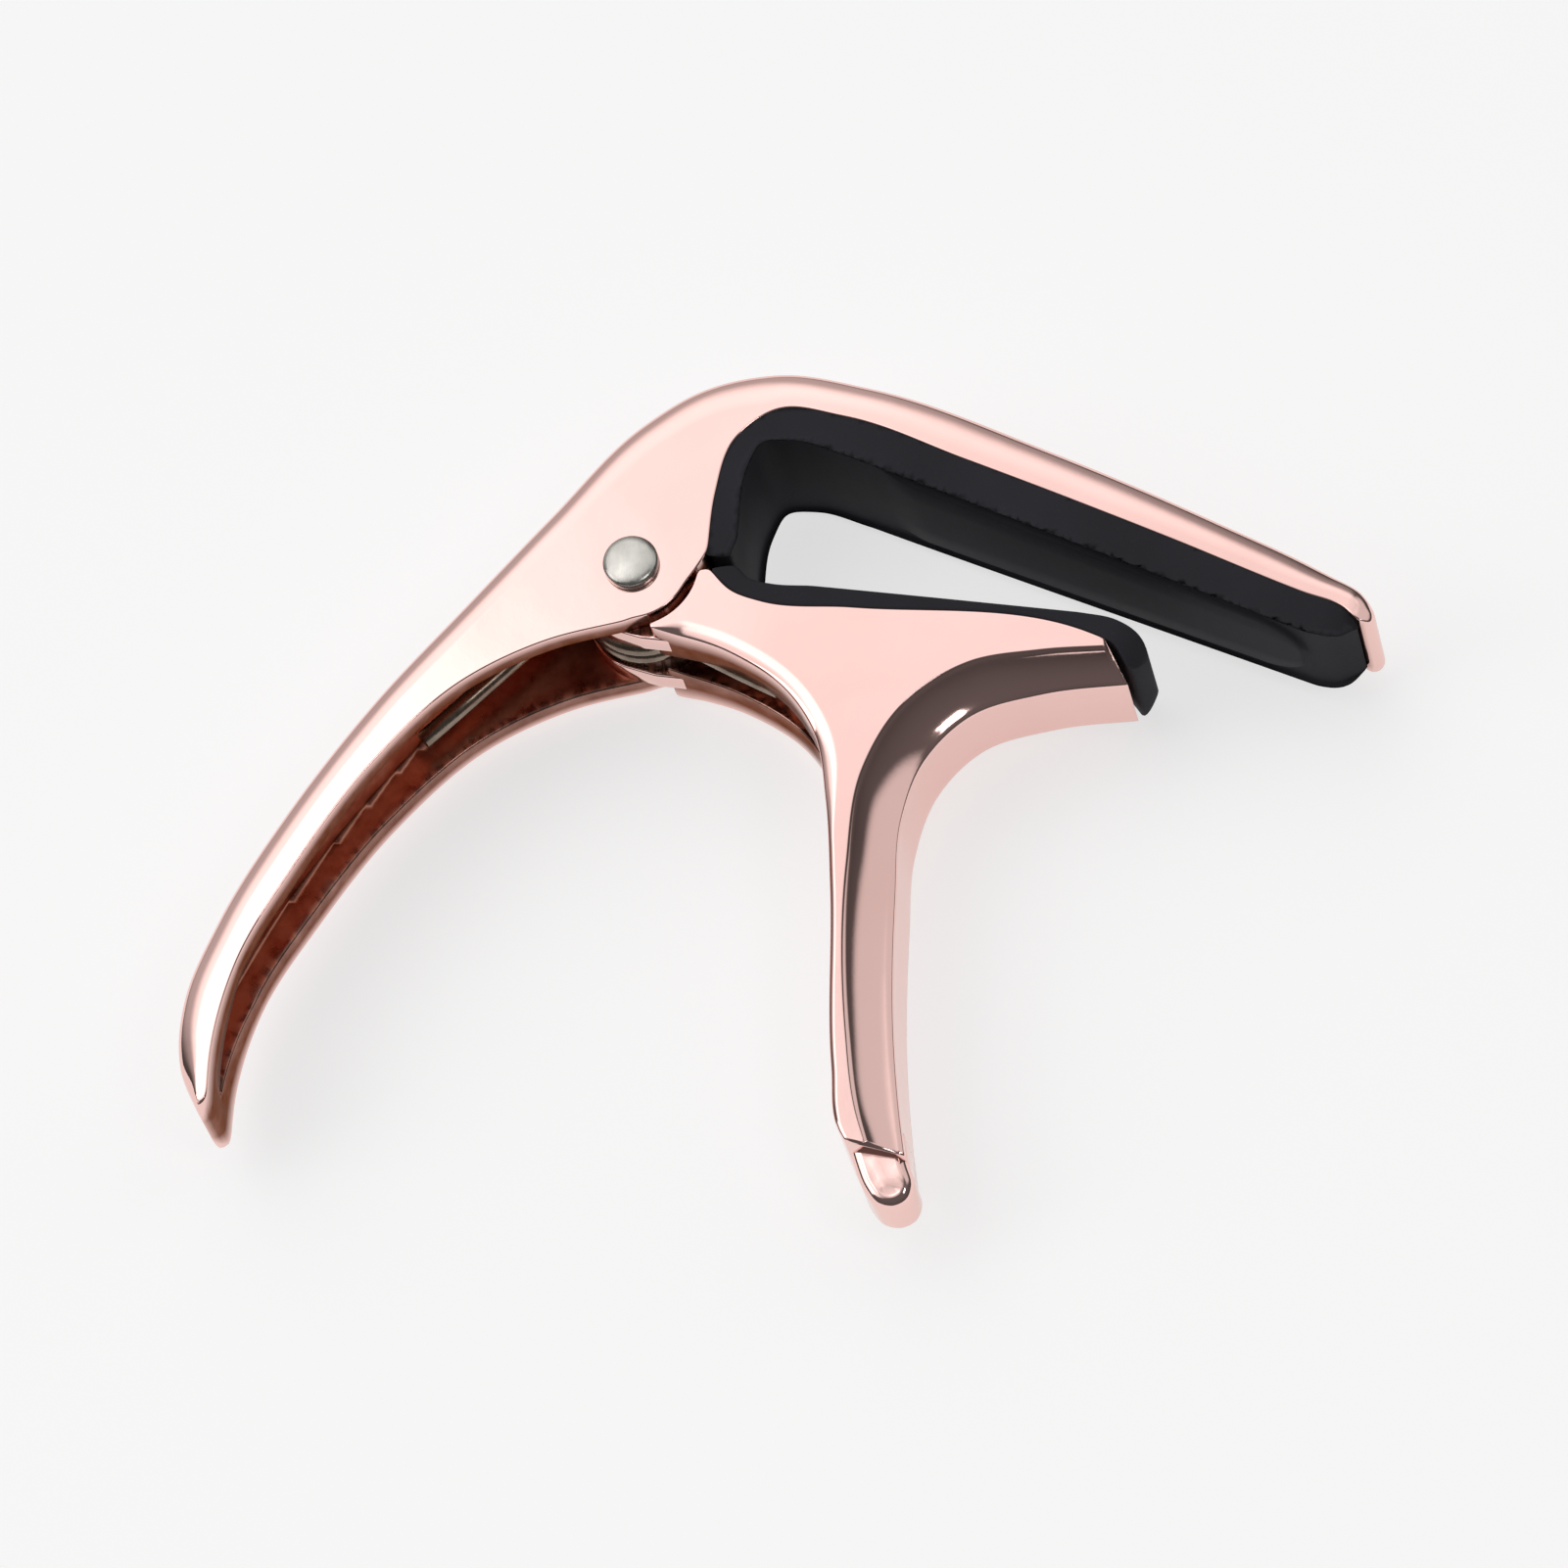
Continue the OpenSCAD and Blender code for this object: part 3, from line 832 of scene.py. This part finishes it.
def plated(name, seed):
    """Rose-gold plating: bright where it was polished; rougher on the sawn rims, with a darker brown there that
    is painted shade; duller in the slot, with a redder, darker colour there that is painted shade.

    The attribute inner is 0 on polished faces, 0.5 on the rims and 1 in the slot.
    """
    m, nodes, links, bsdf = new_material(name)
    at = nodes.new("ShaderNodeTexCoord").outputs["Object"]
    shift = nodes.new("ShaderNodeMapping")
    shift.inputs["Location"].default_value = (seed, seed * 0.7, 0)
    links.new(at, shift.inputs["Vector"])
    at = shift.outputs["Vector"]
    inner = nodes.new("ShaderNodeAttribute")
    inner.attribute_name = "inner"
    inner = inner.outputs["Fac"]
    cloud = noise(nodes, links, at, 55, 4).outputs["Fac"]
    tint = ramp_node(nodes, links, cloud, [
        (0.3, (0.90, 0.585, 0.535)), (0.5, (0.925, 0.612, 0.565)), (0.72, (0.935, 0.63, 0.585)),
    ]).outputs["Color"]
    grain_noise = noise(nodes, links, at, 420, 6, 0.65).outputs["Fac"]
    # painted shade: the slot's walls and back and the ears' faces get a redder, darker base colour for the
    # shade inside the slot
    slot_shade = ramp_node(nodes, links, grain_noise, [
        (0.3, (0.46, 0.17, 0.11)), (0.55, (0.64, 0.28, 0.19)), (0.8, (0.72, 0.36, 0.26)),
    ]).outputs["Color"]
    # painted shade: the sawn rims get a darker brown base colour than the polished plating
    rim_shade = ramp_node(nodes, links, grain_noise, [
        (0.35, (0.26, 0.135, 0.11)), (0.6, (0.36, 0.20, 0.165)), (0.8, (0.46, 0.27, 0.23)),
    ]).outputs["Color"]
    on_shaded_rim = span(nodes, links, inner, 0, 0.5, 0, 1)
    in_slot = span(nodes, links, inner, 0.5, 1, 0, 1)
    outer = mix(nodes, links, on_shaded_rim, tint, rim_shade)
    links.new(mix(nodes, links, in_slot, outer, slot_shade), bsdf.inputs["Base Color"])
    bsdf.inputs["Metallic"].default_value = 1.0
    # painted shade: the sawn rims and the slot get a darker specular tint, so their reflections stay dark at a
    # glancing view
    rim_reflection_shade = mix(nodes, links, on_shaded_rim, (0.95, 0.90, 0.88), (0.42, 0.30, 0.26))
    links.new(rim_reflection_shade, bsdf.inputs["Specular Tint"])
    fine = noise(nodes, links, at, 900, 3, 0.6).outputs["Fac"]
    polish = span(nodes, links, cloud, 0.3, 0.7, 0.055, 0.10)
    dull = span(nodes, links, grain_noise, 0.3, 0.7, 0.24, 0.42)
    links.new(mix(nodes, links, inner, polish, dull), bsdf.inputs["Roughness"])
    wave = noise(nodes, links, at, 95, 1.0, 0.4).outputs["Fac"]
    soft = bump(nodes, links, wave, 0.16, 0.0006)
    skin = bump(nodes, links, fine, 0.05, 0.00008, soft)
    links.new(skin, bsdf.inputs["Normal"])
    return m


def silicone(name, seed):
    """Matte black silicone with a fine moulded grain and a little dust."""
    m, nodes, links, bsdf = new_material(name)
    at = nodes.new("ShaderNodeTexCoord").outputs["Object"]
    shift = nodes.new("ShaderNodeMapping")
    shift.inputs["Location"].default_value = (seed, 0, seed)
    links.new(at, shift.inputs["Vector"])
    at = shift.outputs["Vector"]
    grain = noise(nodes, links, at, 2600, 3, 0.7).outputs["Fac"]
    patch = noise(nodes, links, at, 90, 4).outputs["Fac"]
    base = ramp_node(nodes, links, patch, [
        (0.3, (0.029, 0.029, 0.034)), (0.7, (0.038, 0.037, 0.044)),
    ]).outputs["Color"]
    speck = ramp_node(nodes, links, grain, [(0.60, (0, 0, 0)), (0.78, (1, 1, 1))]).outputs["Color"]
    dust = nodes.new("ShaderNodeMath")
    dust.operation = "MULTIPLY"
    dust.inputs[1].default_value = 0.25
    links.new(speck, dust.inputs[0])
    links.new(mix(nodes, links, dust.outputs[0], base, (0.065, 0.065, 0.075)), bsdf.inputs["Base Color"])
    links.new(span(nodes, links, patch, 0.3, 0.7, 0.6, 0.72), bsdf.inputs["Roughness"])
    bsdf.inputs["Specular IOR Level"].default_value = 0.06
    links.new(bump(nodes, links, grain, 0.35, 0.00005), bsdf.inputs["Normal"])
    return m


def steel(name, low, high, rough_low, rough_high, streak):
    """Bare steel with fine scratches along one way."""
    m, nodes, links, bsdf = new_material(name)
    at = nodes.new("ShaderNodeTexCoord").outputs["Object"]
    stretch = nodes.new("ShaderNodeMapping")
    stretch.inputs["Scale"].default_value = streak
    stretch.inputs["Rotation"].default_value = (0, 0, 0.6)
    links.new(at, stretch.inputs["Vector"])
    lines = noise(nodes, links, stretch.outputs["Vector"], 1500, 4, 0.7).outputs["Fac"]
    blots = noise(nodes, links, at, 380, 4).outputs["Fac"]
    shade = ramp_node(nodes, links, blots, [(0.3, low), (0.7, high)]).outputs["Color"]
    links.new(shade, bsdf.inputs["Base Color"])
    bsdf.inputs["Metallic"].default_value = 1.0
    links.new(span(nodes, links, lines, 0.3, 0.7, rough_low, rough_high), bsdf.inputs["Roughness"])
    dents = bump(nodes, links, blots, 0.3, 0.0002)
    links.new(bump(nodes, links, lines, 0.25, 0.00004, dents), bsdf.inputs["Normal"])
    return m


def nylon(name):
    m, nodes, links, bsdf = new_material(name)
    at = nodes.new("ShaderNodeTexCoord").outputs["Object"]
    patch = noise(nodes, links, at, 300, 4).outputs["Fac"]
    links.new(ramp_node(nodes, links, patch, [
        (0.3, (0.60, 0.57, 0.50)), (0.7, (0.70, 0.68, 0.62)),
    ]).outputs["Color"], bsdf.inputs["Base Color"])
    links.new(span(nodes, links, patch, 0.3, 0.7, 0.4, 0.55), bsdf.inputs["Roughness"])
    links.new(bump(nodes, links, patch, 0.2, 0.0001), bsdf.inputs["Normal"])
    return m


# ---- Pieces ----

arm = build_arm(plated("rose_gold_arm", 0.013))
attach(arm, "arm")
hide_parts("arm")

lever = build_lever(plated("rose_gold_lever", 0.051))
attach(lever, "lever")
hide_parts("lever")

string_pad, neck_pad = build_pads(silicone("silicone_string", 0.02), silicone("silicone_neck", 0.07))
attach(string_pad, "arm")
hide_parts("string_pad")
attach(neck_pad, "lever")
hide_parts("neck_pad")

rivet = build_rivet(steel("rivet_metal", (0.42, 0.40, 0.37), (0.60, 0.58, 0.54), 0.2, 0.34, (1, 0.08, 1)))
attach(rivet, "arm")
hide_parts("pivot_rivet")

spring = build_spring(steel("spring_wire", (0.17, 0.12, 0.09), (0.32, 0.26, 0.21), 0.2, 0.32, (1, 1, 0.2)))
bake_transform(spring)
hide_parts("torsion_spring")

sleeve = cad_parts["coil_sleeve"]
sleeve.data.materials.clear()
sleeve.data.materials.append(nylon("sleeve_nylon"))


# ---- Floor, light and camera ----

floor_mesh = bpy.data.meshes.new("floor")
FLOOR_REACH = 3.0
corners = [(x * FLOOR_REACH, y * FLOOR_REACH, 0) for x, y in ((-1, -1), (1, -1), (1, 1), (-1, 1))]
floor_mesh.from_pydata(corners, [], [(0, 1, 2, 3)])
floor = bpy.data.objects.new("floor", floor_mesh)
bpy.context.scene.collection.objects.link(floor)
m, nodes, links, bsdf = new_material("pale_floor")
bsdf.inputs["Base Color"].default_value = (0.4, 0.4, 0.4, 1)
bsdf.inputs["Roughness"].default_value = 0.9
bsdf.inputs["Specular IOR Level"].default_value = 0.0
bsdf.inputs["Emission Color"].default_value = (1, 1, 1, 1)
bsdf.inputs["Emission Strength"].default_value = 0.66
floor_mesh.materials.append(m)
floor.location.z = -0.0002

world = bpy.data.worlds.new("studio")
bpy.context.scene.world = world
world.use_nodes = True
nodes, links = world.node_tree.nodes, world.node_tree.links
direction = nodes.new("ShaderNodeTexCoord").outputs["Generated"]


def lobe(aim, inner_deg, outer_deg, level):
    """Light of that level within inner_deg of a direction, fading out by outer_deg."""
    dot = nodes.new("ShaderNodeVectorMath")
    dot.operation = "DOT_PRODUCT"
    dot.inputs[1].default_value = tuple(unit(aim))
    links.new(direction, dot.inputs[0])
    fade = nodes.new("ShaderNodeMapRange")
    fade.interpolation_type = "SMOOTHERSTEP"
    fade.inputs["From Min"].default_value = math.cos(math.radians(outer_deg))
    fade.inputs["From Max"].default_value = math.cos(math.radians(inner_deg))
    fade.inputs["To Max"].default_value = level
    links.new(dot.outputs["Value"], fade.inputs["Value"])
    return fade.outputs["Result"]


def add(a, b):
    total = nodes.new("ShaderNodeMath")
    total.operation = "ADD"
    links.new(a, total.inputs[0])
    links.new(b, total.inputs[1])
    return total.outputs[0]


glow = add(lobe((-0.20, 0.42, 0.885), 15, 40, 0.83), lobe((-0.33, 0.24, 0.91), 4, 15, 0.7))
glow = add(glow, lobe((0.60, 0.40, 0.69), 12, 28, 0.6))
glow = add(glow, lobe((-0.45, 0.75, 0.48), 20, 50, 0.42))
glow = add(glow, lobe((-0.55, -0.08, 0.83), 13, 24, 0.95))
glow = add(glow, lobe((0, 0, 1), 0, 180, 0.12))
nodes["Background"].inputs["Color"].default_value = (1, 1, 1, 1)
links.new(glow, nodes["Background"].inputs["Strength"])


def softbox(name, aim, distance_m, size, radiance, about=(0, 0, 0.01)):
    """A square area light that faces the part from a direction, with the radiance its reflection shows."""
    light = bpy.data.lights.new(name, "AREA")
    light.shape = "RECTANGLE"
    light.size, light.size_y = size
    light.energy = radiance * math.pi ** 2 / 4 * size[0] * size[1]
    obj = bpy.data.objects.new(name, light)
    bpy.context.scene.collection.objects.link(obj)
    back = unit(aim)
    obj.location = Vector(about) + Vector(back) * distance_m
    obj.rotation_euler = Vector(back).to_track_quat("Z", "Y").to_euler()
    return obj


softbox("left", (-0.80, -0.15, 0.58), 0.9, (0.45, 0.5), 1.8)
softbox("key", (0.45, -0.25, 0.86), 1.0, (0.22, 0.22), 5.0)

RIGHT, UP = Vector((0.988, 0.031, -0.150)), Vector((0.031, 0.917, 0.397))
TOWARD = Vector((0.150, -0.397, 0.9055)).normalized()
UP = (UP - UP.dot(TOWARD) * TOWARD).normalized()
RIGHT = UP.cross(TOWARD)
FRAME_WIDTH = 133.4 * MM  # what the picture spans at the part
CAMERA_FAR = 0.9
aim_at = Vector((-13.3, 20.2, 16.0)) * MM + RIGHT * 12.99 * MM - UP * 18.74 * MM
camera_data = bpy.data.cameras.new("camera")
camera_data.sensor_width = 36
camera_data.lens = 36 * CAMERA_FAR / FRAME_WIDTH
camera_data.clip_start, camera_data.clip_end = 0.01, 20
camera = bpy.data.objects.new("camera", camera_data)
bpy.context.scene.collection.objects.link(camera)
turn = Matrix((RIGHT, UP, TOWARD)).transposed().to_4x4()
camera.matrix_world = Matrix.Translation(aim_at + TOWARD * CAMERA_FAR) @ turn
bpy.context.scene.camera = camera
bpy.context.scene.view_settings.view_transform = "Standard"
